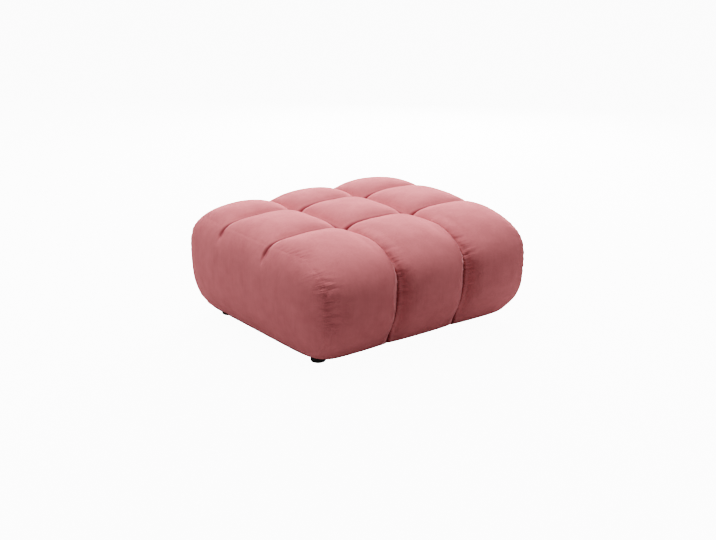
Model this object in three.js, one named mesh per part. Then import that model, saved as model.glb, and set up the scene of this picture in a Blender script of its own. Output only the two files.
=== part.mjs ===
// A large low velvet pouf: one filled, upholstered body on a thin base board with four round feet.
// Millimetres. +Z is up, the floor is z = 0, and the face with the two full-height channels looks along -Y.
// Three columns run from front to back and three rows run from side to side, which makes nine lobes.
import * as THREE from 'three';

// Channels: where they lie and how deeply they are sewn in
const COLUMN_SEAM_X = 155;       // each of the two front-to-back channels, from the middle column's line
const ROW_SEAM_Y = 148;          // each of the two side-to-side channels, from the middle row's centre line
const COLUMN_SEAM_DEPTH = 54;    // how far the full-height channels draw the cover in
const ROW_SEAM_DEPTH = 34;       // how far the cross channels draw it in
const COLUMN_LOBE_REACH = 160;   // width over which an outer lobe rises from a full-height channel
const ROW_LOBE_REACH = 150;      // width over which an outer lobe rises from a cross channel
const LOBE_ROUNDNESS = 2.2;      // 2 is an elliptical lobe, more is flatter on top with a tighter fold
const CROSSING_ROUNDNESS = 1.5;  // how two channels add up where they cross
const ROW_SEAM_FADE_LOW = 280;   // height at which a cross channel has died out on a side face
const ROW_SEAM_FADE_HIGH = 350;  // height from which it has its full depth
const ROW_SEAM_EASE_FROM = 380;  // towards the side faces, between these two distances from the middle,
const ROW_SEAM_EASE_TO = 510;    // the cross channels grow shallower
const ROW_SEAM_EASE_SHARE = 0.5; // by this share of their depth
const SEAM_FOOT_FADE = 93;       // height over which a full-height channel closes towards the base
const SEAM_FOOT_POWER = 2.2;

// The body without its channels: plan sections that swell to the fullest height and close over the crown
const HALF_WIDTH = 521;          // at the fullest height
const HALF_DEPTH = 520;
const FULLEST_HEIGHT = 223;      // above the base board's underside
const CROWN_RISE = 186;          // from the fullest height to the top of the uncut crown
const CROWN_POWER = 2.6;
const PLAN_POWER_X = 9;          // superellipse powers of the plan at the fullest height
const PLAN_POWER_Y = 3.5;
const BASE_CORNER_X = 0.96;      // share of the half width that a corner reaches at the base
const BASE_CORNER_Y = 0.92;
const BASE_INSET_X = 58;         // how far the sides draw in towards the base
const BASE_INSET_Y = 106;
const BASE_INSET_POWER = 2.6;
const BACK_ROW_RATIO = 0.85;     // depth of the back row against the front row
const SHOULDER_LEVEL = 0.5;      // where the side patches hand over to the top patch
const PANEL_SEAM_LOW = 444.5;    // the side panels' upright seams, from the middle, at the base
const PANEL_SEAM_HIGH = 462;     // and at the shoulder

// Base and feet
const BOARD_THICK = 8;
const BOARD_INSET = 3;           // the board's edge stands this far inside the cover's lower edge
const FOOT_HEIGHT = 38;
const FOOT_RADIUS = 29;
const FOOT_TAPER = 2;            // the foot's tread is this much smaller in radius than its top
const FOOT_ROUNDING = 5;
const FOOT_X = 388;              // foot centres
const FOOT_FRONT_Y = 317;
const FOOT_BACK_Y = 284;
const FOOT_STEPS = 32;
const SEAT_GAP = 0.3;            // clearance between pieces that touch

// Mesh density
const INNER_STEPS = 14;          // across a middle column or row
const OUTER_STEPS = 11;          // from a channel to a corner
const LOWER_STEPS = 8;           // from the base to the fullest height
const UPPER_STEPS = 8;           // from there to the shoulder
const SEAM_CLUSTER = 1.8;        // above 1 gathers the lines next to the channels
const MIDDLE_EASE = 0.8;         // gathers them a little towards the middle of a lobe
const CORNER_EASE = 1.3;         // and more towards the body's corners

const LINES = 2 * OUTER_STEPS + INNER_STEPS;   // cells across the top, both ways
const LEVELS = LOWER_STEPS + UPPER_STEPS;      // cells up a side

const velvet = new THREE.MeshStandardMaterial({ color: 0xb87272, roughness: 0.85, metalness: 0 });
const darkCloth = new THREE.MeshStandardMaterial({ color: 0x2e2220, roughness: 0.95, metalness: 0 });
const blackWood = new THREE.MeshStandardMaterial({ color: 0x14110f, roughness: 0.45, metalness: 0 });

const clamp01 = (t) => Math.min(Math.max(t, 0), 1);

function smoothStep(low, high, value) {
  const t = clamp01((value - low) / (high - low));
  return t * t * (3 - 2 * t);
}

// Half sizes, powers and fill of the plan section at one height: |x/a|^m + |y/b|^n = fill
function planSection(z) {
  const below = clamp01((FULLEST_HEIGHT - z) / FULLEST_HEIGHT) ** BASE_INSET_POWER;
  const above = Math.max((z - FULLEST_HEIGHT) / CROWN_RISE, 0);
  const cornerX = 0.5 ** (1 / PLAN_POWER_X);
  const cornerY = 0.5 ** (1 / PLAN_POWER_Y);
  return {
    a: HALF_WIDTH - BASE_INSET_X * below,
    b: HALF_DEPTH - BASE_INSET_Y * below,
    m: Math.log(0.5) / Math.log(cornerX + (BASE_CORNER_X - cornerX) * below),
    n: Math.log(0.5) / Math.log(cornerY + (BASE_CORNER_Y - cornerY) * below),
    fill: 1 - above ** CROWN_POWER,
  };
}

// Half width of a section at one y, and half depth at one x
const halfWidthAt = (s, y) => s.a * Math.max(s.fill - (Math.abs(y) / s.b) ** s.n, 0) ** (1 / s.m);
const halfDepthAt = (s, x) => s.b * Math.max(s.fill - (Math.abs(x) / s.a) ** s.m, 0) ** (1 / s.n);

// The patches meet along the seams of the two side panels, and this is where one crosses a section
const shoulderHeight = FULLEST_HEIGHT + CROWN_RISE * (1 - SHOULDER_LEVEL) ** (1 / CROWN_POWER);
function cornerAt(z) {
  const climb = (z - BOARD_THICK) / (shoulderHeight - BOARD_THICK);
  const x = PANEL_SEAM_LOW + (PANEL_SEAM_HIGH - PANEL_SEAM_LOW) * climb;
  return { x, y: halfDepthAt(planSection(z), x) };
}

// Share of the way along a run whose lines gather at its start, where the channel lies
const fromSeam = (t, ease) => t ** SEAM_CLUSTER * (1 + ease * (1 - t));

// Signed distance of one grid line from the middle: its lines gather at the channels and end at the corner
function gridLine(index, seam, corner) {
  const offset = index - LINES / 2;
  const sign = Math.sign(offset);
  const half = INNER_STEPS / 2;
  const distance = Math.abs(offset);
  if (distance <= half) {
    return sign * seam * (1 - fromSeam(1 - distance / half, MIDDLE_EASE));
  }
  return sign * (seam + (corner - seam) * fromSeam((distance - half) / OUTER_STEPS, CORNER_EASE));
}

// Heights of the side patches' levels
const UPPER_SWEEP = 0.75 * (Math.PI / 2);
function levelHeight(k) {
  if (k <= LOWER_STEPS) {
    return BOARD_THICK + (FULLEST_HEIGHT - BOARD_THICK) * (k / LOWER_STEPS);
  }
  const t = (k - LOWER_STEPS) / UPPER_STEPS;
  const eased = Math.sin(t * UPPER_SWEEP) / Math.sin(UPPER_SWEEP);
  return FULLEST_HEIGHT + (shoulderHeight - FULLEST_HEIGHT) * eased;
}

// A point of the uncut side at grid line i, j and level k, where i or j is the first or last line
function sidePoint(i, j, k) {
  const z = levelHeight(k);
  const section = planSection(z);
  const corner = cornerAt(z);
  const x = gridLine(i, COLUMN_SEAM_X, corner.x);
  const y = gridLine(j, ROW_SEAM_Y, corner.y);
  if (i === 0 || i === LINES) {
    return new THREE.Vector3(Math.sign(x) * halfWidthAt(section, y), y, z);
  }
  return new THREE.Vector3(x, Math.sign(y) * halfDepthAt(section, x), z);
}

// A point of the uncut top: each line is carried from its channel to the side, so it meets the side patches
const shoulder = planSection(shoulderHeight);
const shoulderCorner = cornerAt(shoulderHeight);
function topPoint(i, j) {
  const x = gridLine(i, COLUMN_SEAM_X, shoulderCorner.x);
  const y = gridLine(j, ROW_SEAM_Y, shoulderCorner.y);
  const along = Math.abs(x);
  const across = Math.abs(y);
  const s = Math.max((along - COLUMN_SEAM_X) / (shoulderCorner.x - COLUMN_SEAM_X), 0);
  const t = Math.max((across - ROW_SEAM_Y) / (shoulderCorner.y - ROW_SEAM_Y), 0);
  const px = s > 0 ? COLUMN_SEAM_X + s * (halfWidthAt(shoulder, y) - COLUMN_SEAM_X) : along;
  const py = t > 0 ? ROW_SEAM_Y + t * (halfDepthAt(shoulder, x) - ROW_SEAM_Y) : across;
  const rest = 1 - (px / HALF_WIDTH) ** PLAN_POWER_X - (py / HALF_DEPTH) ** PLAN_POWER_Y;
  const z = FULLEST_HEIGHT + CROWN_RISE * Math.max(rest, 0) ** (1 / CROWN_POWER);
  return new THREE.Vector3(Math.sign(x) * px, Math.sign(y) * py, z);
}

// Outward direction of the uncut form
function outward(point) {
  const s = planSection(point.z);
  const above = Math.max((point.z - FULLEST_HEIGHT) / CROWN_RISE, 0);
  return new THREE.Vector3(
    Math.sign(point.x) * (s.m / s.a) * (Math.abs(point.x) / s.a) ** (s.m - 1),
    Math.sign(point.y) * (s.n / s.b) * (Math.abs(point.y) / s.b) ** (s.n - 1),
    (CROWN_POWER / CROWN_RISE) * above ** (CROWN_POWER - 1),
  ).normalize();
}

// 1 in the seam, 0 where the lobe is full, with the round flank of a filled lobe between
function lobeFlank(distance, reach) {
  const t = clamp01(distance / reach);
  return 1 - (1 - (1 - t) ** LOBE_ROUNDNESS) ** (1 / LOBE_ROUNDNESS);
}

// How far the channels draw the cover in at a point of the uncut form
function drawnIn(point) {
  const x = Math.abs(point.x);
  const y = Math.abs(point.y);
  const columnReach = x > COLUMN_SEAM_X ? COLUMN_LOBE_REACH : COLUMN_SEAM_X;
  const rowReach = y > ROW_SEAM_Y ? ROW_LOBE_REACH : ROW_SEAM_Y;
  const open = 1 - (1 - clamp01(point.z / SEAM_FOOT_FADE)) ** SEAM_FOOT_POWER;
  const column = COLUMN_SEAM_DEPTH * lobeFlank(Math.abs(x - COLUMN_SEAM_X), columnReach) * open;
  const fade = smoothStep(ROW_SEAM_FADE_LOW, ROW_SEAM_FADE_HIGH, point.z);
  const ease = 1 - ROW_SEAM_EASE_SHARE * smoothStep(ROW_SEAM_EASE_FROM, ROW_SEAM_EASE_TO, x);
  const row = ROW_SEAM_DEPTH * lobeFlank(Math.abs(y - ROW_SEAM_Y), rowReach) * fade * ease;
  return (column ** CROSSING_ROUNDNESS + row ** CROSSING_ROUNDNESS) ** (1 / CROSSING_ROUNDNESS);
}

function sewn(point) {
  const moved = point.clone().addScaledVector(outward(point), -drawnIn(point));
  if (moved.y > ROW_SEAM_Y) {
    moved.y = ROW_SEAM_Y + (moved.y - ROW_SEAM_Y) * BACK_ROW_RATIO;
  }
  return moved;
}

// The plan outline at one level, counter-clockwise seen from above
function ring(k) {
  const points = [];
  for (let i = 0; i < LINES; i += 1) points.push(sidePoint(i, 0, k));
  for (let j = 0; j < LINES; j += 1) points.push(sidePoint(LINES, j, k));
  for (let i = LINES; i > 0; i -= 1) points.push(sidePoint(i, LINES, k));
  for (let j = LINES; j > 0; j -= 1) points.push(sidePoint(0, j, k));
  return points.map(sewn);
}

// Triangles from a flat closed outline to its centre, facing up or down
function fanCap(outline, facingUp) {
  const centre = outline.reduce((sum, p) => sum.add(p), new THREE.Vector3()).divideScalar(outline.length);
  return outline.flatMap((p, n) => {
    const next = outline[(n + 1) % outline.length];
    return facingUp ? [centre, p, next] : [centre, next, p];
  });
}

function closedGeometry(points) {
  const positions = points.flatMap((p) => [p.x, p.y, p.z]);
  const geometry = new THREE.BufferGeometry();
  geometry.setAttribute('position', new THREE.Float32BufferAttribute(positions, 3));
  geometry.computeVertexNormals();
  return geometry;
}

// The closed body: side rings, the top grid and a flat underside
function bodyGeometry() {
  const points = [];
  const put = (...corners) => points.push(...corners);
  const quad = (a, b, c, d) => {
    if (a.distanceTo(c) < b.distanceTo(d)) {
      put(a, b, c, a, c, d);
    } else {
      put(a, b, d, b, c, d);
    }
  };
  const rings = [];
  for (let k = 0; k <= LEVELS; k += 1) rings.push(ring(k));
  const around = rings[0].length;
  for (let k = 0; k < LEVELS; k += 1) {
    for (let n = 0; n < around; n += 1) {
      const next = (n + 1) % around;
      quad(rings[k][n], rings[k][next], rings[k + 1][next], rings[k + 1][n]);
    }
  }
  const onTop = (i, j) => {
    const edge = i === 0 || j === 0 || i === LINES || j === LINES;
    return sewn(edge ? sidePoint(i, j, LEVELS) : topPoint(i, j));
  };
  for (let i = 0; i < LINES; i += 1) {
    for (let j = 0; j < LINES; j += 1) {
      quad(onTop(i, j), onTop(i + 1, j), onTop(i + 1, j + 1), onTop(i, j + 1));
    }
  }
  put(...fanCap(rings[0], false));
  return closedGeometry(points);
}

// The board follows the cover's lower edge, a little inside it
function boardGeometry() {
  const under = ring(0).map((p) => {
    const reach = Math.hypot(p.x, p.y);
    return new THREE.Vector3(p.x, p.y, 0).multiplyScalar((reach - BOARD_INSET) / reach);
  });
  const over = under.map((p) => new THREE.Vector3(p.x, p.y, BOARD_THICK - SEAT_GAP));
  const edge = under.flatMap((p, n) => {
    const next = (n + 1) % under.length;
    return [p, under[next], over[next], p, over[next], over[n]];
  });
  return closedGeometry([...edge, ...fanCap(over, true), ...fanCap(under, false)]);
}

// A turned foot, widest under the board, with a rounded tread
function footGeometry() {
  const tread = FOOT_RADIUS - FOOT_TAPER;
  const profile = [new THREE.Vector2(0, 0)];
  const roundSteps = 5;
  for (let n = 0; n <= roundSteps; n += 1) {
    const angle = (n / roundSteps) * (Math.PI / 2);
    profile.push(new THREE.Vector2(
      tread - FOOT_ROUNDING + FOOT_ROUNDING * Math.sin(angle),
      FOOT_ROUNDING - FOOT_ROUNDING * Math.cos(angle),
    ));
  }
  profile.push(new THREE.Vector2(FOOT_RADIUS, FOOT_HEIGHT - SEAT_GAP));
  profile.push(new THREE.Vector2(0, FOOT_HEIGHT - SEAT_GAP));
  return new THREE.LatheGeometry(profile, FOOT_STEPS).rotateX(Math.PI / 2);
}

function named(name, geometry, material, x = 0, y = 0, z = 0) {
  const mesh = new THREE.Mesh(geometry, material);
  mesh.name = name;
  mesh.position.set(x, y, z);
  return mesh;
}

const pouf = new THREE.Group();
const body = named('pouf_body', bodyGeometry(), velvet, 0, 0, FOOT_HEIGHT);
pouf.add(body);
pouf.add(named('base_board', boardGeometry(), darkCloth, 0, 0, FOOT_HEIGHT));
for (const [side, x] of [['left', -FOOT_X], ['right', FOOT_X]]) {
  pouf.add(named(`foot_front_${side}`, footGeometry(), blackWood, x, -FOOT_FRONT_Y, 0));
  pouf.add(named(`foot_back_${side}`, footGeometry(), blackWood, x, FOOT_BACK_Y, 0));
}

// The frame's origin is the middle of the body's footprint, on the floor
body.geometry.computeBoundingBox();
const middle = body.geometry.boundingBox.getCenter(new THREE.Vector3());
pouf.position.set(-middle.x, -middle.y, 0);

export default pouf;
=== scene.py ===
# %% [markdown]
# A large low velvet pouf, made over its measured solids.
# The solids give every place and size. Here they get what a viewer sees: a padded velvet cover
# with sewn channels and puckers, a cloth-covered base board and four turned feet.
# Everything is in metres, with the floor at z = 0 and the face with the two tall channels along -Y.

# %% Load the solids
import math

import bmesh
import bpy
import numpy as np
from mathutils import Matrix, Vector


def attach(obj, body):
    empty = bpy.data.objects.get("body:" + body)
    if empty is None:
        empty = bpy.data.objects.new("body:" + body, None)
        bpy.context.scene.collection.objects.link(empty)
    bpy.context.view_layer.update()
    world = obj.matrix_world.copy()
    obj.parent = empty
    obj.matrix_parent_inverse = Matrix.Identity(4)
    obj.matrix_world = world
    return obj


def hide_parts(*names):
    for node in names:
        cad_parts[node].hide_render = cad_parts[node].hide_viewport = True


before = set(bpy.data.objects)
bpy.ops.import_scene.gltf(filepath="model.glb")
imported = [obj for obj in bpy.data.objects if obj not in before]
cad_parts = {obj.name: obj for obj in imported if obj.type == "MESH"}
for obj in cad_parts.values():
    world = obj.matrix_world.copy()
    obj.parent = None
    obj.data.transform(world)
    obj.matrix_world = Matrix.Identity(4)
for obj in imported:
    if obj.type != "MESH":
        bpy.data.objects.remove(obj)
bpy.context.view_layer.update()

# %% [markdown]
# The camera comes first, because every choice of detail is judged through it.
# Its place was worked out from the crossings of the channels, the feet and the lower edges of the
# cover: it stands in front of the left corner, looks down by 18.5 degrees, and has a long lens, so
# the pouf keeps its nearly parallel edges.

# %% Camera
CAMERA_PLACE = (-2.697, -3.555, 1.6779)
CAMERA_DOWN = math.radians(18.52)
CAMERA_HEADING = math.radians(37.28)
FOCAL_PIXELS = 1219
FRAME_WIDE = 716
SENSOR = 36.0

camera_data = bpy.data.cameras.new("camera")
camera_data.sensor_width = SENSOR
camera_data.lens = FOCAL_PIXELS / FRAME_WIDE * SENSOR
camera = bpy.data.objects.new("camera", camera_data)
camera.location = CAMERA_PLACE
camera.rotation_euler = (math.pi / 2 - CAMERA_DOWN, 0, -CAMERA_HEADING)
bpy.context.scene.collection.objects.link(camera)
bpy.context.scene.camera = camera
print("lens, mm:", round(camera_data.lens, 2))

# %% [markdown]
# Materials are written as sums. A small class stands for one number on its way through a
# material's nodes, so that `1 - mask` or `mask * 0.4` adds the Math nodes itself. Everything that
# isn't plain arithmetic comes from one method, which takes the node's type, its settings and what
# goes into its sockets. The recipes below then read like a dyer's notes.

# %% A class for values and a class for recipes
class Value:
    """A number that varies over a surface: the operators add Math nodes."""

    def __init__(self, recipe, socket):
        self.recipe = recipe
        self.socket = socket

    def math(self, operation, *inputs, clamp=False):
        settings = {"operation": operation, "use_clamp": clamp}
        return self.recipe.add("ShaderNodeMath", settings, dict(enumerate(inputs)))[0]

    def __add__(self, other):
        return self.math("ADD", self, other)

    def __radd__(self, other):
        return self.math("ADD", other, self)

    def __sub__(self, other):
        return self.math("SUBTRACT", self, other)

    def __rsub__(self, other):
        return self.math("SUBTRACT", other, self)

    def __mul__(self, other):
        return self.math("MULTIPLY", self, other)

    def __rmul__(self, other):
        return self.math("MULTIPLY", other, self)

    def size(self):
        return self.math("ABSOLUTE", self)

    def held(self):
        return self.math("ADD", self, 0.0, clamp=True)


class Recipe:
    """A material and its nodes."""

    def __init__(self, name):
        self.material = bpy.data.materials.new(name)
        self.material.use_nodes = True
        self.tree = self.material.node_tree
        self.shader = self.tree.nodes["Principled BSDF"]
        self.place = self.add("ShaderNodeTexCoord", {}, {})["Object"]

    def add(self, kind, settings, inputs):
        """A node of one kind: settings first, then values or links for its sockets."""
        node = self.tree.nodes.new(kind)
        for key, setting in settings.items():
            setattr(node, key, setting)
        for key, value in inputs.items():
            self.feed(node.inputs[key], value)
        return Outputs(self, node)

    def feed(self, socket, value):
        if isinstance(value, Value):
            self.tree.links.new(value.socket, socket)
        elif isinstance(value, tuple) and len(value) == 3 and socket.type == "RGBA":
            socket.default_value = (*value, 1)
        else:
            socket.default_value = value

    def blend(self, share, first, second):
        """A colour between two others."""
        inputs = {"Factor": share, "A": first, "B": second}
        node = self.tree.nodes.new("ShaderNodeMix")
        node.data_type = "RGBA"
        for socket in node.inputs:
            if socket.enabled and socket.name in inputs:
                self.feed(socket, inputs[socket.name])
        return Value(self, next(s for s in node.outputs if s.enabled))

    def stretched(self, scale):
        """The place on the piece, scaled along each axis."""
        settings = {"operation": "MULTIPLY"}
        return self.add("ShaderNodeVectorMath", settings, {0: self.place, 1: scale})["Vector"]

    def cloud(self, scale, detail=2.0, rough=0.5, vector=None):
        """Soft noise around 0.5."""
        inputs = {"Vector": vector or self.place, "Scale": scale, "Detail": detail, "Roughness": rough}
        return self.add("ShaderNodeTexNoise", {}, inputs)[0]

    def relief(self, height, distance, strength):
        """A normal that follows a height."""
        inputs = {"Height": height, "Distance": distance, "Strength": strength}
        return self.add("ShaderNodeBump", {}, inputs)["Normal"]

    def finish(self, **inputs):
        """Constants and links on the shader's own sockets, named with _ for a space."""
        for key, value in inputs.items():
            self.feed(self.shader.inputs[key.replace("_", " ")], value)
        return self.material


class Outputs:
    """A node's outputs by name or number."""

    def __init__(self, recipe, node):
        self.recipe = recipe
        self.node = node

    def __getitem__(self, key):
        return Value(self.recipe, self.node.outputs[key])


# %% [markdown]
# The room is a plain pale floor under soft lamps. In the photograph the tops of the lobes are the
# palest, the left side is in between and the front is the darkest. The strongest lamp therefore
# stands low behind the right corner, one hangs straight above, and three weak ones fill the left
# side and the front. Colours grow paler as they grow brighter, as on film, so the velvet can keep
# one deep rose all over. The floor as the camera sees it is lifted to white, as in a studio
# picture. What it throws back at the pouf stays as it was.

# %% Room and light
bpy.context.scene.view_settings.view_transform = "Filmic"
bpy.context.scene.view_settings.look = "High Contrast"

SEEN_WHITE = 5.0          # how bright the floor and the air look to the camera
FLOOR_GREY = 0.5          # and how much of the light the floor throws back
FLOOR_GLOW = 0.145        # with a little of its own
SKY = 0.02                # the air's own faint light on the pouf

world = bpy.data.worlds.new("pale_air")
world.use_nodes = True
air = world.node_tree
glimpse = air.nodes.new("ShaderNodeLightPath")
lift = air.nodes.new("ShaderNodeMath")
lift.operation = "MULTIPLY_ADD"
lift.inputs[1].default_value = SEEN_WHITE - SKY
lift.inputs[2].default_value = SKY
air.links.new(glimpse.outputs["Is Camera Ray"], lift.inputs[0])
air.links.new(lift.outputs[0], air.nodes["Background"].inputs["Strength"])
air.nodes["Background"].inputs["Color"].default_value = (1, 1, 1, 1)
bpy.context.scene.world = world

floor_shape = bmesh.new()
bmesh.ops.create_circle(floor_shape, cap_ends=True, radius=60, segments=64)
floor_mesh = bpy.data.meshes.new("floor")
floor_shape.to_mesh(floor_mesh)
floor_shape.free()
floor = bpy.data.objects.new("floor", floor_mesh)
bpy.context.scene.collection.objects.link(floor)

pale = Recipe("pale_floor")
seen = pale.add("ShaderNodeLightPath", {}, {})["Is Camera Ray"]
floor_mesh.materials.append(pale.finish(
    Base_Color=(FLOOR_GREY, FLOOR_GREY, FLOOR_GREY), Roughness=1.0, Specular_IOR_Level=0.0,
    Emission_Color=pale.blend(seen, (FLOOR_GLOW,) * 3, (SEEN_WHITE,) * 3), Emission_Strength=1.0))


def lamp(name, heading, height, power, size=1.6, distance=4.0):
    """A square soft light, placed round the pouf by its angles, that looks at the pouf's middle."""
    data = bpy.data.lights.new(name, "AREA")
    data.shape = "SQUARE"
    data.size = size
    data.energy = power
    turn, climb = math.radians(heading), math.radians(height)
    away = Vector((math.cos(climb) * math.sin(turn), math.cos(climb) * math.cos(turn), math.sin(climb)))
    thing = bpy.data.objects.new(name, data)
    thing.location = away * distance + Vector((0, 0, 0.25))
    thing.rotation_euler = away.to_track_quat("Z", "Y").to_euler()
    bpy.context.scene.collection.objects.link(thing)


lamp("behind_right", 45, 20, 450)
lamp("above", 0, 90, 126)
lamp("behind_left", 315, 50, 78)
lamp("right", 135, 50, 35)
lamp("left", 270, 20, 15)

# %% [markdown]
# The cover's shape starts from a copy of its solid. The solid is loose triangles, so the copy's
# doubles are merged, and pairs of triangles are joined back to squares whose edges run along the
# channels. That keeps every seam on a line of the mesh, which a plain remesh would blur. The flat
# underside comes off until the end, because a face with hundreds of sides is slow to subdivide.

# %% Sizes of the cover
COLUMN_SEAM = 0.155                 # the two tall channels, from the middle
MIDDLE_ROW = 0.0279                 # the middle row's centre line
ROW_SEAM = 0.148                    # the two cross channels, from that line
ROW_END_LOW = 0.325                 # the cross channels die out on the side faces
ROW_END_HIGH = 0.380                # between these heights
COVER_LOW = 0.046                   # the cover's lower edge, on the board
EDGE_ROLL = 0.006                   # the cloth bends under from this height above it
LIP = 0.003                         # and laps this far over the board's edge
ROW_SEAMS = (MIDDLE_ROW - ROW_SEAM, MIDDLE_ROW + ROW_SEAM)


# %% Squares from the solid's triangles
def bare_copy(node):
    """A bmesh of a solid with its loose triangles merged."""
    shape = bmesh.new()
    shape.from_mesh(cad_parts[node].data)
    bmesh.ops.remove_doubles(shape, verts=shape.verts, dist=2e-5)
    return shape


shape = bare_copy("pouf_body")
underside = [f for f in shape.faces if all(v.co.z < COVER_LOW + 2e-4 for v in f.verts)]
bmesh.ops.delete(shape, geom=underside, context="FACES")
bmesh.ops.join_triangles(
    shape, faces=shape.faces, angle_face_threshold=math.pi,
    angle_shape_threshold=math.pi, topology_influence=1.3)
squares = sum(len(f.verts) == 4 for f in shape.faces)
print("faces of the cover:", len(shape.faces), "of which squares:", squares)

# %% [markdown]
# An upholsterer chalks the seam lines before sewing. Here each seam is a number on the vertices:
# 1 on the line and 0 elsewhere. A walk straight on from one vertex to the next follows a line of
# squares, so it is enough to know where each seam starts on the lower edge. The seams of the two
# side panels start at the corners, where only three edges meet.

# %% Chalk the seams
def smooth_step(low, high, value):
    t = np.clip((value - low) / (high - low), 0, 1)
    return t * t * (3 - 2 * t)


def walk(vert, edge):
    """The vertices straight on from one along an edge, until the squares end."""
    run = [vert]
    while len(run) == 1 or len(vert.link_edges) == 4:
        vert = edge.other_vert(vert)
        run.append(vert)
        faces = set(edge.link_faces)
        edge = next((e for e in vert.link_edges if not faces & set(e.link_faces)), None)
    return run


chalk = {name: shape.verts.layers.float.new(name) for name in ("column", "row", "panel")}
for vert in [v for v in shape.verts if v.is_boundary]:
    upright = next(e for e in vert.link_edges if not e.is_boundary)
    if abs(abs(vert.co.x) - COLUMN_SEAM) < 1e-3:
        for v in walk(vert, upright):
            v[chalk["column"]] = 1
    if abs(vert.co.x) > 0.4 and min(abs(vert.co.y - y) for y in ROW_SEAMS) < 1e-3:
        for v in walk(vert, upright):
            v[chalk["row"]] = float(smooth_step(ROW_END_LOW, ROW_END_HIGH, v.co.z))
corners = [v for v in shape.verts if len(v.link_edges) == 3 and not v.is_boundary]
for vert in corners:
    for edge in vert.link_edges:
        run = walk(vert, edge)
        if run[-1].is_boundary or (run[-1] in corners and run[-1].co.x * vert.co.x > 0):
            for v in run:
                v[chalk["panel"]] = 1
on_the_lines = {name: sum(v[layer] > 0.99 for v in shape.verts) for name, layer in chalk.items()}
print("on the seams:", on_the_lines)

# %% [markdown]
# At the bottom the cloth laps over the edge of the board. A cut just above the edge and two
# narrow strips, one down and one back up behind it, make a thin lip that stays tight when the mesh
# is smoothed. The channels get a crease, so the smoothing leaves them sharp.

# %% Turn the lower edge under and crease the channels
bmesh.ops.bisect_plane(
    shape, geom=[*shape.verts, *shape.edges, *shape.faces], dist=1e-5,
    plane_co=(0, 0, COVER_LOW + EDGE_ROLL), plane_no=(0, 0, 1))
for inward, drop in ((0.0008, LIP), (0.0016, -LIP)):
    edge_loop = [e for e in shape.edges if e.is_boundary]
    fresh = bmesh.ops.extrude_edge_only(shape, edges=edge_loop)["geom"]
    for v in (g for g in fresh if isinstance(g, bmesh.types.BMVert)):
        reach = math.hypot(v.co.x, v.co.y)
        share = (reach - inward) / reach
        v.co = (v.co.x * share, v.co.y * share, v.co.z - drop)

crease = shape.edges.layers.float.new("crease_edge")
for edge in shape.edges:
    first, second = edge.verts
    edge[crease] = max(min(first[chalk[k]], second[chalk[k]]) for k in ("column", "row"))

cover_mesh = bpy.data.meshes.new("velvet_cover")
shape.to_mesh(cover_mesh)
shape.free()
cover = bpy.data.objects.new("velvet_cover", cover_mesh)
bpy.context.scene.collection.objects.link(cover)


# %% Smooth once
def evaluated(thing):
    return thing.evaluated_get(bpy.context.evaluated_depsgraph_get())


def refine(thing, rounds=1):
    """Subdivides a piece's mesh for good."""
    finer = thing.modifiers.new("finer", "SUBSURF")
    finer.levels = finer.render_levels = rounds
    mesh = bpy.data.meshes.new_from_object(evaluated(thing))
    thing.modifiers.clear()
    thing.data = mesh


def points_of(mesh):
    flat = np.empty(len(mesh.vertices) * 3)
    mesh.vertices.foreach_get("co", flat)
    return flat.reshape(-1, 3)


def place_points(mesh, points):
    mesh.vertices.foreach_set("co", points.ravel())
    mesh.update()


def chalked(mesh, name):
    values = np.empty(len(mesh.vertices))
    mesh.attributes[name].data.foreach_get("value", values)
    return values


refine(cover)
on_columns = int((chalked(cover.data, "column") > 0.99).sum())
print("vertices:", len(cover.data.vertices), "on the tall channels:", on_columns)

# %% [markdown]
# Real puckers come from cloth that is a little too large for the seam that holds it. So the cover
# is cut 3% too large, sewn down along every chalked line and on the board, and blown up from
# inside for twenty frames. The cloth swells between the seams and gathers along them, most of all
# where a seam goes over the shoulder.
# The solid already has the measured form, so only a seventh of the broad swelling is kept, and
# more of the gathers, though few on the smooth tops. Averaging each vertex's movement with its
# neighbours' tells the two apart. The side panels are cut flat and don't gather below the
# shoulder.

# %% Blow up the cover
PRESSURE = 4.0
TOO_LARGE = 0.03
BENDING = 0.05            # the velvet bends easily
SQUEEZING = 5             # and crumples easily
FRAMES = 20
MOST_MOVEMENT = 0.022
AVERAGED = 30             # rounds of averaging that leave the broad swelling
SWELLING_KEPT = 0.15
GATHERS_KEPT = 0.35
GATHERS_ON_TOP = 0.12


def blow_up(thing):
    """Where the vertices go when the sewn cover is blown up."""
    mesh = thing.data
    start = points_of(mesh)
    held = np.maximum(chalked(mesh, "column") > 0.99, chalked(mesh, "panel") > 0.99)
    held = np.maximum(held, (chalked(mesh, "row") > 0.99) & (start[:, 2] > 0.38))
    held = np.maximum(held, start[:, 2] < COVER_LOW + 0.004)
    sewn = thing.vertex_groups.new(name="sewn")
    sewn.add([int(n) for n in np.flatnonzero(held)], 1.0, "REPLACE")
    cloth = thing.modifiers.new("cloth", "CLOTH")
    cloth.settings.vertex_group_mass = "sewn"
    cloth.settings.use_pressure = True
    cloth.settings.uniform_pressure_force = PRESSURE
    cloth.settings.shrink_min = -TOO_LARGE
    cloth.settings.bending_stiffness = BENDING
    cloth.settings.compression_stiffness = SQUEEZING
    cloth.settings.effector_weights.gravity = 0
    cloth.point_cache.frame_start = 1
    cloth.point_cache.frame_end = FRAMES
    for moment in range(1, FRAMES + 1):
        bpy.context.scene.frame_set(moment)
    blown = points_of(evaluated(thing).data)
    thing.modifiers.clear()
    thing.vertex_groups.clear()
    bpy.context.scene.frame_set(1)
    return blown - start


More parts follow.
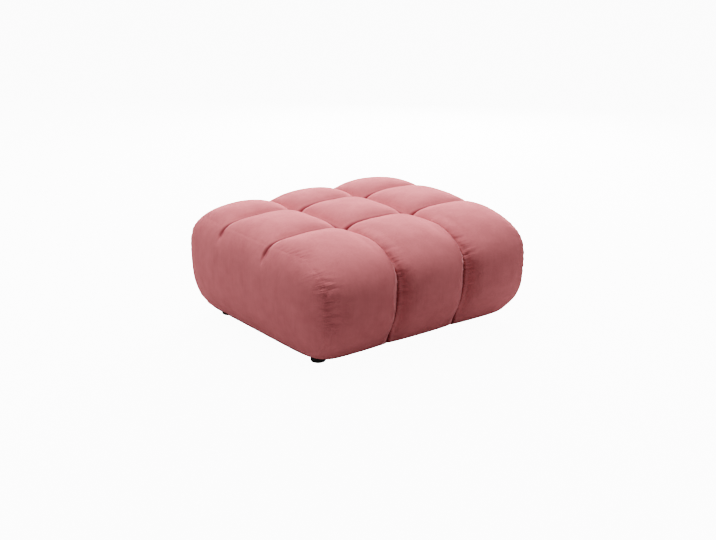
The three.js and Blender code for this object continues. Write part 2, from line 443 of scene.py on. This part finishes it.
def spread(mesh, values, rounds):
    """Averages each vertex's values with its neighbours', several times."""
    ends = np.empty(len(mesh.edges) * 2, int)
    mesh.edges.foreach_get("vertices", ends)
    one, other = ends.reshape(-1, 2).T
    count = np.bincount(ends, minlength=len(values))
    for _ in range(rounds):
        for column in values.T:
            near = np.bincount(one, column[other], len(values))
            near += np.bincount(other, column[one], len(values))
            column[:] = 0.4 * column + 0.6 * near / count
    return values


movement = blow_up(cover)
length = np.linalg.norm(movement, axis=1, keepdims=True)
movement *= np.minimum(1, MOST_MOVEMENT / np.maximum(length, 1e-9))
broad = spread(cover.data, movement.copy(), AVERAGED)
gathers = movement - broad
now = points_of(cover.data)
on_panel = smooth_step(0.45, 0.47, np.abs(now[:, 0])) * (1 - smooth_step(0.36, 0.40, now[:, 2]))
on_top = smooth_step(0.36, 0.40, now[:, 2])
kept = GATHERS_KEPT * (1 - on_top) + GATHERS_ON_TOP * on_top
loose = (1 - on_panel)[:, None]
place_points(cover.data, now + loose * (SWELLING_KEPT * broad + kept[:, None] * gathers))
print("moved by up to, mm:", round(float(length.max()) * 1000, 1))
print("gathers, mm:", round(float(np.abs(gathers).max()) * 1000, 1))
refine(cover)

# %% [markdown]
# What is finer than the squares of the simulated cloth is pressed in, with the seams as
# guides: the tight fold where two lobes meet, and the short puckers along the seams. Each point
# near a seam gets two numbers from it: how far along the seam it lies, and how far from it.

# %% Distances from the seams
MIDDLE_HEIGHT = 0.12      # the seams are measured round a line through the body at this height
MIDDLE_DEPTH = 0.028


class Seam:
    """A sewn line, followed by its angle round the middle of the body."""

    def __init__(self, points, across, centre):
        self.across = across                                  # the axis that crosses the seam
        self.flat = [1 - across, 2]                           # and the two that it lies in
        self.centre = np.array(centre)
        spokes = points[:, self.flat] - self.centre
        angle = np.arctan2(spokes[:, 1], spokes[:, 0])
        order = np.argsort(angle)
        self.angle = angle[order]
        self.line = points[order]
        steps = np.linalg.norm(np.diff(self.line, axis=0), axis=1)
        self.along = np.concatenate(([0], np.cumsum(steps)))

    def measure(self, points):
        """For each point: where along the seam, how far off, and on which side."""
        spokes = points[:, self.flat] - self.centre
        angle = np.arctan2(spokes[:, 1], spokes[:, 0])
        nearest = np.stack([np.interp(angle, self.angle, self.line[:, k]) for k in range(3)], 1)
        off = points - nearest
        along = np.interp(angle, self.angle, self.along)
        return along, np.linalg.norm(off, axis=1), off[:, self.across]


def seams_of(mesh):
    points = points_of(mesh)
    found = {}
    for side in (-1, 1):
        name = "left" if side < 0 else "right"
        here = points[:, 0] * side > 0
        for kind in ("column", "panel"):
            chosen = points[here & (chalked(mesh, kind) > 0.99)]
            found[f"{kind}_{name}"] = Seam(chosen, 0, (MIDDLE_DEPTH, MIDDLE_HEIGHT))
    for row, place in zip(("front", "back"), ROW_SEAMS):
        chosen = points[(chalked(mesh, "row") > 0.9) & (np.abs(points[:, 1] - place) < 0.02)]
        found[f"row_{row}"] = Seam(chosen, 1, (0.0, MIDDLE_HEIGHT))
    return found


seams = seams_of(cover.data)
print({name: round(float(seam.along[-1]), 3) for name, seam in seams.items()})

# %% [markdown]
# Where two lobes press against each other the cover makes a narrow fold. The points beside a
# channel are drawn towards its plane and lifted, so the fold closes instead of lying open like a
# ditch. The cross channels are shallower and get a smaller one.

# %% Close the folds
def normals_of(mesh):
    flat = np.empty(len(mesh.vertices) * 3)
    mesh.vertex_normals.foreach_get("vector", flat)
    return flat.reshape(-1, 3)


SQUEEZE = 0.6             # how much of its distance from the seam the cloth gives up
COLUMN_FOLD = (0.022, 0.0035)       # how far a fold reaches and how high its lips rise
ROW_FOLD = (0.018, 0.0020)


def fold(mesh, seam, reach, lift, strength):
    """Draws the cloth beside a seam together and raises it."""
    points = points_of(mesh)
    along, off, side = seam.measure(points)
    share = np.clip(off / reach, 0, 1)
    narrow = 1 - SQUEEZE * (1 - smooth_step(0, 1, share)) * strength(points)
    points[:, seam.across] += side * (narrow - 1) * (off > 1e-5)
    rise = 4 * lift * np.sqrt(share) * (1 - np.sqrt(share)) * strength(points)
    points += rise[:, None] * normals_of(mesh)
    place_points(mesh, points)


def above_the_board(points):
    return smooth_step(0.055, 0.11, points[:, 2])


def on_the_top(points):
    return smooth_step(0.33, 0.39, points[:, 2])


for name, seam in seams.items():
    if name.startswith("column"):
        fold(cover.data, seam, *COLUMN_FOLD, above_the_board)
    if name.startswith("row"):
        fold(cover.data, seam, *ROW_FOLD, on_the_top)

# %% [markdown]
# A sewn cover doesn't fill out evenly. Beside the tall channels it is fullest where it bends over
# the shoulder and a little leaner down the upright faces. The cross channels close to a mere line
# where they go over the sides, and where two channels cross, the stitches pull a dimple. The
# body's four corners are stuffed harder than the rest, down to the base, and between them the two
# side panels are drawn in a little at the foot. The lobes of the shallow back row stand up more
# than the others.

# %% Fill out the lobes
def plump(mesh, seam, reach, amount, strength):
    """Raises the cloth beside a seam, most at a third of the reach."""
    points = points_of(mesh)
    along, off, side = seam.measure(points)
    share = np.clip(off / reach, 0, 1)
    rise = amount * 6.75 * share * (1 - share) ** 2 * strength(points)
    place_points(mesh, points + rise[:, None] * normals_of(mesh))


FULL_SHOULDER = 0.014
SHOULDER_CLIMB = (39, 11)           # its angle up from the middle, and how far it spreads
LEAN_UPRIGHT = 0.008
UPRIGHT_CLIMB = (14, 9)
BACK_SHOULDER = 0.6                 # the back is less full there
BESIDE_COLUMNS = 0.08               # how far from a seam the fullness reaches
BESIDE_ROWS = 0.07
FULL_ROW_END = 0.002


def bump_at(value, place, width):
    return np.exp(-((value - place) / width) ** 2)


def from_the_middle(points):
    return np.abs(points[:, 1] - MIDDLE_DEPTH)


def beside_the_columns(points):
    """Fuller where a lobe bends over its shoulder, and leaner down the upright face."""
    climb = np.degrees(np.arctan2(points[:, 2] - MIDDLE_HEIGHT, from_the_middle(points)))
    shoulder = bump_at(climb, *SHOULDER_CLIMB)
    upright = bump_at(climb, *UPRIGHT_CLIMB)
    shoulder *= np.where(points[:, 1] > MIDDLE_DEPTH, BACK_SHOULDER, 1.0)
    return FULL_SHOULDER * shoulder - LEAN_UPRIGHT * upright


def over_the_side(points):
    return smooth_step(0.30, 0.38, points[:, 2]) * smooth_step(0.36, 0.44, np.abs(points[:, 0]))


for name, seam in seams.items():
    if name.startswith("column"):
        plump(cover.data, seam, BESIDE_COLUMNS, 1.0, beside_the_columns)
    if name.startswith("row"):
        plump(cover.data, seam, BESIDE_ROWS, FULL_ROW_END, over_the_side)

# %% Draw in the panel seams
PANEL_GROOVE = 0.0009
GROOVE_WIDTH = 0.005
for name, seam in seams.items():
    if name.startswith("panel"):
        points = points_of(cover.data)
        along, off, side = seam.measure(points)
        dip = PANEL_GROOVE * bump_at(off, 0, GROOVE_WIDTH) * above_the_board(points)
        place_points(cover.data, points - dip[:, None] * normals_of(cover.data))

# %% Stuff the corners
CORNER_FULLNESS = 0.008
LOW_FULLNESS = 0.010
points = points_of(cover.data)
normals = normals_of(cover.data)
level = normals[:, 0] ** 2 + normals[:, 1] ** 2
slant = 4 * (normals[:, 0] * normals[:, 1]) ** 2 / np.maximum(level, 1e-6)
height = smooth_step(0.06, 0.18, points[:, 2]) * (1 - smooth_step(0.34, 0.41, points[:, 2]))
out_there = smooth_step(0.40, 0.46, np.abs(points[:, 0]))
out_there *= smooth_step(0.25, 0.35, from_the_middle(points))
foot_of_corner = smooth_step(0.05, 0.075, points[:, 2]) * (1 - smooth_step(0.09, 0.20, points[:, 2]))
corner = CORNER_FULLNESS * height + LOW_FULLNESS * foot_of_corner
place_points(cover.data, points + (corner * slant * out_there)[:, None] * normals)

# %% Draw in the sides and the crossings, and raise the back row
BACK_CROWN = 0.007
BACK_ROW_DEPTH = 0.30
DIMPLE_DEPTH = 0.008
DIMPLE_REACH = 0.040
SIDE_TUCK = 0.010
points = points_of(cover.data)
foot_of_side = 1 - smooth_step(COVER_LOW, 0.13, points[:, 2])
foot_of_side *= 1 - smooth_step(0.28, 0.40, np.abs(points[:, 1]))
foot_of_side *= smooth_step(0.40, 0.45, np.abs(points[:, 0]))
points[:, 0] -= np.sign(points[:, 0]) * SIDE_TUCK * foot_of_side
for channel in ROW_SEAMS:
    away = np.hypot(np.abs(points[:, 0]) - COLUMN_SEAM, points[:, 1] - channel)
    points[:, 2] -= DIMPLE_DEPTH * bump_at(away, 0, DIMPLE_REACH) * on_the_top(points)
across = np.abs(np.sin(np.pi * (points[:, 0] / COLUMN_SEAM + 1) / 2))
depth = (points[:, 1] - ROW_SEAMS[1]) / BACK_ROW_DEPTH
domed = np.sin(np.pi * np.clip(depth, 0, 1)) * np.clip(across * 1.6, 0, 1) * on_the_top(points)
domed *= 1 - 0.7 * smooth_step(0.28, 0.42, np.abs(points[:, 0]))
points[:, 2] += BACK_CROWN * domed
place_points(cover.data, points)

# %% [markdown]
# Puckers are short dents across a seam. They stand 15 to 30 mm apart where the seam bends over the
# shoulder, because the outside of a bend needs more cloth than its sewn inside, and they fade on
# the straight runs. A seeded generator gives each its own place, length, depth and lean.

# %% Puckers
chance = np.random.default_rng(7)


def pucker(mesh, seam, side_wanted, gap, reach, depth, strength):
    """Dents across one side of a seam."""
    points = points_of(mesh)
    along, off, side = seam.measure(points)
    near = (np.abs(off) < 2.5 * reach) & (side * side_wanted > 0)
    near_along, near_off = along[near], off[near]
    dent = np.zeros(len(near_along))
    place = seam.along[0] + chance.uniform(0, gap)
    while place < seam.along[-1]:
        long = reach * chance.uniform(0.5, 1.3)
        wide = gap * chance.uniform(0.22, 0.36)
        deep = depth * chance.uniform(0.45, 1.2)
        lean = chance.uniform(-0.45, 0.45)
        ripple = np.exp(-((near_along - place - lean * near_off) / wide) ** 2)
        t = near_off / (0.3 * long)
        dent += deep * ripple * t * np.exp(1 - t)
        place += gap * chance.uniform(0.75, 1.35)
    points[near] -= (dent * strength(points[near]))[:, None] * normals_of(mesh)[near]
    place_points(mesh, points)


def over_the_shoulder(points):
    """Most where the cover bends from the top to the front or back."""
    bend = smooth_step(0.16, 0.30, from_the_middle(points)) * smooth_step(0.15, 0.25, points[:, 2])
    return 0.25 * smooth_step(0.10, 0.2, points[:, 2]) + 0.75 * bend


def round_the_corner(points):
    """Most on the upright stretch just below the shoulder, and little on the top."""
    upright = smooth_step(0.14, 0.22, points[:, 2]) * (1 - 0.65 * smooth_step(0.32, 0.39, points[:, 2]))
    return smooth_step(0.14, 0.28, from_the_middle(points)) * upright


def lightly(points):
    return 0.5 * on_the_top(points)


FINE = (0.016, 0.055, 0.0034)       # the gap between puckers, how long they are and how deep
FAINT = (0.022, 0.030, 0.0012)
LONG = (0.022, 0.050, 0.0055)
SHORT = (0.022, 0.028, 0.0040)
SPARSE = (0.028, 0.030, 0.0006)

for name, seam in seams.items():
    outer = -1 if name.endswith("left") else 1
    if name.startswith("column"):
        pucker(cover.data, seam, 1, *FINE, over_the_shoulder)
        pucker(cover.data, seam, -1, *FAINT, over_the_shoulder)
    if name.startswith("panel"):
        pucker(cover.data, seam, -outer, *LONG, round_the_corner)
        pucker(cover.data, seam, outer, *SHORT, round_the_corner)
    if name.startswith("row"):
        pucker(cover.data, seam, -1, *SPARSE, lightly)
        pucker(cover.data, seam, 1, *SPARSE, lightly)

# %% [markdown]
# Each cross channel ends on the side panel in a thin crease with a second, shorter one beside it.
# A crease is nearly upright, so it is given by how far it stands from its channel at two or three
# heights, and it dies out downwards.

# %% Creases at the ends of the cross channels
# Each has its channel, its width and depth, and its offset at some heights, from the lowest up.
CREASES = (
    (ROW_SEAMS[0], 0.0040, 0.0036, ((0.322, -0.010), (0.351, 0.004), (0.395, 0.002))),
    (ROW_SEAMS[0], 0.0032, 0.0022, ((0.332, -0.021), (0.352, -0.013), (0.376, -0.012))),
    (ROW_SEAMS[1], 0.0040, 0.0026, ((0.335, 0.000), (0.363, 0.004), (0.395, 0.001))),
    (ROW_SEAMS[1], 0.0032, 0.0014, ((0.338, -0.014), (0.372, -0.010))),
)


def tuck(mesh, side, channel, wide, deep, path):
    """Presses a narrow crease into a side panel and raises the cloth beside it a little."""
    points = points_of(mesh)
    near = (points[:, 0] * side > 0.40) & (points[:, 2] > 0.25)
    near &= np.abs(points[:, 1] - channel) < 0.06
    heights, offsets = np.array(path).T
    away = (points[near, 1] - channel - np.interp(points[near, 2], heights, offsets)) / wide
    fade = smooth_step(heights[0], 0.4 * heights[0] + 0.6 * heights[-1], points[near, 2])
    fade *= 1 - smooth_step(heights[-1], heights[-1] + 0.012, points[near, 2])
    dent = np.exp(-away ** 2) - 0.35 * np.exp(-((np.abs(away) - 2.4) / 1.1) ** 2)
    points[near] -= (deep * fade * dent)[:, None] * normals_of(mesh)[near]
    place_points(mesh, points)


for side in (-1, 1):
    for channel, wide, deep, path in CREASES:
        tuck(cover.data, side, channel, wide, deep, path)

# %% Close the underside
shape = bmesh.new()
shape.from_mesh(cover.data)
bmesh.ops.holes_fill(shape, edges=[e for e in shape.edges if e.is_boundary])
bmesh.ops.recalc_face_normals(shape, faces=shape.faces)
for face in shape.faces:
    face.smooth = True
shape.to_mesh(cover.data)
shape.free()
print("faces of the finished cover:", len(cover.data.polygons))

# %% [markdown]
# The velvet is one deep rose. What varies is how its pile lies: broad soft clouds where it was
# brushed, smaller patches where it was pressed, and faint streaks down the upright faces. Shade is
# painted into the folds as a deep red, and a painted highlight runs as a paler band along the lips
# beside them, mostly on the left side of the tall channels and the front side of the cross channels.
# The finest gathers, a centimetre apart, are too small for the mesh. Each vertex therefore keeps
# how far along its nearest seam it lies, how far from it, and how strongly the seam gathers there.
# Noise that is stretched away from the seam then presses thin creases into the pile, and darkens the
# colour along them as painted shade.

# %% Velvet
FOLD_SHADE_REACH = 0.018        # the painted fold shade fades out this far from a seam
GATHER_REACH = 0.028      # and the fine gathers about this far
GATHERS_PER_METRE = 80
LIP_HIGHLIGHT_PLACE = 0.016         # the painted highlight on the lip beside a fold
LIP_HIGHLIGHT_WIDTH = 0.007

points = points_of(cover.data)
on_seam = {"painted_fold_shade": np.zeros(len(points)), "along_seam": np.zeros(len(points)),
           "off_seam": np.ones(len(points)), "gathered": np.zeros(len(points)),
           "painted_lip_highlight": np.zeros(len(points))}
for name, seam in seams.items():
    along, off, side = seam.measure(points)
    if name.startswith("panel"):
        closed, strength = 0.0, round_the_corner(points)
    elif name.startswith("column"):
        closed, strength = 1.0, over_the_shoulder(points) * (0.3 + 0.7 * (side > 0))
    else:
        closed, strength = on_the_top(points), 0.4 * lightly(points)
    # painted shade: the colour darkens to a deep red in each fold, reaching further on the top
    reach = FOLD_SHADE_REACH * (1 + 0.5 * on_the_top(points))
    fold_shade_share = closed * (1 - smooth_step(0, reach, off)) ** 1.5
    on_seam["painted_fold_shade"] = np.maximum(on_seam["painted_fold_shade"], fold_shade_share)
    # painted highlight: a paler band on the lip beside each fold, mostly on one side of the seam
    lip = closed * np.exp(-((off - LIP_HIGHLIGHT_PLACE) / LIP_HIGHLIGHT_WIDTH) ** 2) * np.where(side < 0, 1.0, 0.25)
    if name.startswith("row"):
        lip *= smooth_step(0.38, 0.42, points[:, 2])
    on_seam["painted_lip_highlight"] = np.maximum(on_seam["painted_lip_highlight"], lip)
    nearer = off < on_seam["off_seam"]
    on_seam["along_seam"][nearer] = along[nearer]
    on_seam["off_seam"][nearer] = off[nearer]
    on_seam["gathered"][nearer] = (strength * np.exp(-off / GATHER_REACH))[nearer]
for name, values in on_seam.items():
    cover.data.attributes.new(name, "FLOAT", "POINT").data.foreach_set("value", values)
print("points in the folds:", int((on_seam["painted_fold_shade"] > 0.2).sum()))

ROSE_DEEP, ROSE_PALE = (0.43, 0.144, 0.147), (0.57, 0.203, 0.206)
# the second pair: a painted highlight for the lips and painted shade for the folds
ROSE_LIP_HIGHLIGHT, ROSE_FOLD_SHADE = (0.74, 0.33, 0.335), (0.16, 0.020, 0.024)

velvet = Recipe("rose_velvet")
marks = {}
for name in on_seam:
    marks[name] = velvet.add("ShaderNodeAttribute", {"attribute_name": name}, {})["Fac"]
ruffled = velvet.add("ShaderNodeCombineXYZ", {}, {
    "X": marks["along_seam"] * GATHERS_PER_METRE, "Y": marks["off_seam"] * 12.0, "Z": 0.0})["Vector"]
wave = velvet.cloud(1.0, 1.0, 0.4, ruffled)
creased = (1 - (wave * 4 - 2).size()).held() * marks["gathered"]
brushed = velvet.cloud(4.5, 2.0, 0.5) - 0.5
pressed = velvet.cloud(19.0, 4.0, 0.6) - 0.5
streaks = velvet.cloud(1.0, 3.0, 0.6, velvet.stretched((110.0, 110.0, 12.0))) - 0.5
pile = velvet.cloud(900.0, 2.0, 0.6)
# the creases also darken the pile's tone: painted shade
lie = (0.5 + brushed * 0.7 + pressed * 0.9 + streaks * 0.45 - creased * 0.6).held()
rose = velvet.blend(lie, ROSE_DEEP, ROSE_PALE)
# painted highlight along the lips
rose = velvet.blend((marks["painted_lip_highlight"] * 0.85).held(), rose, ROSE_LIP_HIGHLIGHT)
# painted shade in the folds
rose = velvet.blend((marks["painted_fold_shade"] * 0.9).held(), rose, ROSE_FOLD_SHADE)
height = pile * 0.6 + pressed * 1.2 + streaks * 0.5 - creased * 4.5
fibres = velvet.relief(height, 0.0012, 0.5)
cover.data.materials.clear()
cover.data.materials.append(velvet.finish(
    Base_Color=rose, Roughness=0.84 + brushed * 0.10 + pressed * 0.08, Normal=fibres,
    Specular_IOR_Level=0.0, Sheen_Weight=0.6, Sheen_Roughness=0.15, Sheen_Tint=(1.0, 0.6, 0.6)))

# %% [markdown]
# The base is a thin board in a dark dust cover. Only its edge shows, as a thin line under the
# velvet, so it stands a little further in than its solid and gets a soft lower edge.

# %% Base board
BOARD_TUCK = (0.010, 0.004)         # further inside the cover's lower edge, along X and Y
BOARD_BEVEL = 0.0015


def finished(shape, name, node, material):
    """A piece of the pouf from its bmesh, in the place of its solid."""
    bmesh.ops.remove_doubles(shape, verts=shape.verts, dist=1e-5)
    bmesh.ops.recalc_face_normals(shape, faces=shape.faces)
    for face in shape.faces:
        face.smooth = True
    for edge in shape.edges:
        edge.smooth = edge.calc_face_angle(0) < math.radians(35)
    mesh = bpy.data.meshes.new(name)
    shape.to_mesh(mesh)
    shape.free()
    mesh.materials.append(material)
    piece = bpy.data.objects.new(name, mesh)
    bpy.context.scene.collection.objects.link(piece)
    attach(piece, "root")
    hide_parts(node)
    return piece


cloth = Recipe("dust_cover")
threads = cloth.cloud(1.0, 1.0, 0.5, cloth.stretched((60.0, 900.0, 900.0)))
cross_threads = cloth.cloud(1.0, 1.0, 0.5, cloth.stretched((900.0, 60.0, 900.0)))
weave = (threads + cross_threads) * 0.5
dust = cloth.cloud(9.0, 3.0, 0.6)
CLOTH_DARK, CLOTH_PALE = (0.018, 0.012, 0.011), (0.045, 0.032, 0.029)
cloth_colour = cloth.blend((weave * 0.7 + dust * 0.3).held(), CLOTH_DARK, CLOTH_PALE)
dust_cover = cloth.finish(
    Base_Color=cloth_colour, Roughness=0.86 + dust * 0.12, Specular_IOR_Level=0.3,
    Normal=cloth.relief(weave, 0.0006, 0.5))

shape = bare_copy("base_board")
hubs = [v for v in shape.verts if len(v.link_edges) > 8]
bmesh.ops.dissolve_verts(shape, verts=hubs)
bmesh.ops.join_triangles(
    shape, faces=[f for f in shape.faces if len(f.verts) == 3], angle_face_threshold=math.pi,
    angle_shape_threshold=math.pi, topology_influence=1.3)
board_low = np.array([min(v.co[k] for v in shape.verts) for k in range(3)])
board_high = np.array([max(v.co[k] for v in shape.verts) for k in range(3)])
middle, half = (board_low + board_high) / 2, (board_high - board_low) / 2
for v in shape.verts:
    for k in (0, 1):
        v.co[k] = middle[k] + (v.co[k] - middle[k]) * (half[k] - BOARD_TUCK[k]) / half[k]
rim = [e for e in shape.edges if all(v.co.z < board_low[2] + 1e-4 for v in e.verts)]
bmesh.ops.bevel(
    shape, geom=rim, offset=BOARD_BEVEL, affect="EDGES", segments=2, profile=0.5, material=-1)
board = finished(shape, "dust_covered_board", "base_board", dust_cover)
print("board, faces:", len(board.data.polygons), "edge height, mm:", round(float(half[2]) * 2000, 1))

# %% [markdown]
# The feet were turned on a lathe, so each is one profile spun round its own axis: a rounded tread,
# a side that widens a little upwards, and a small softened edge under the board.

# %% Feet
FOOT_RADIUS = 0.029
TREAD_RADIUS = 0.0275
TREAD_ROUNDING = 0.004
FOOT_EDGE = 0.001
TURNS = 64

stain = Recipe("black_stain")
rings = stain.cloud(1.0, 2.0, 0.5, stain.stretched((30.0, 30.0, 420.0)))
scuffs = stain.cloud(55.0, 4.0, 0.65)
STAIN_DARK, STAIN_PALE = (0.007, 0.006, 0.0055), (0.02, 0.017, 0.015)
foot_colour = stain.blend((rings * 0.6 + scuffs * 0.4).held(), STAIN_DARK, STAIN_PALE)
black_stain = stain.finish(
    Base_Color=foot_colour, Roughness=0.34 + scuffs * 0.22,
    Normal=stain.relief(rings, 0.0003, 0.4))


def foot_profile(height):
    """Half of the foot's cut, from the middle of the tread to the middle of its top."""
    rows = [(0.0, 0.0)]
    for k in range(9):
        turn = math.pi / 2 * k / 8
        out = TREAD_RADIUS - TREAD_ROUNDING * (1 - math.sin(turn))
        rows.append((out, TREAD_ROUNDING * (1 - math.cos(turn))))
    rows.append((FOOT_RADIUS, height - FOOT_EDGE))
    rows.append((FOOT_RADIUS - 0.3 * FOOT_EDGE, height - 0.3 * FOOT_EDGE))
    rows.append((FOOT_RADIUS - FOOT_EDGE, height))
    rows.append((0.0, height))
    return rows


def turned_foot(node):
    corners = [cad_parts[node].matrix_world @ v.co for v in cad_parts[node].data.vertices]
    middle = [(min(c[k] for c in corners) + max(c[k] for c in corners)) / 2 for k in (0, 1)]
    top = max(c.z for c in corners)
    shape = bmesh.new()
    verts = [shape.verts.new((middle[0] + out, middle[1], up)) for out, up in foot_profile(top)]
    edges = [shape.edges.new(pair) for pair in zip(verts, verts[1:])]
    bmesh.ops.spin(
        shape, geom=[*verts, *edges], cent=(*middle, 0), axis=(0, 0, 1), dvec=(0, 0, 0),
        angle=2 * math.pi, steps=TURNS, use_merge=True)
    return finished(shape, "turned_" + node, node, black_stain)


feet = [turned_foot(f"foot_{end}_{side}") for end in ("front", "back") for side in ("left", "right")]
print("feet:", len(feet), "of", len(feet[0].data.polygons), "faces")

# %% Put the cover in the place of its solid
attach(cover, "root")
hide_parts("pouf_body")
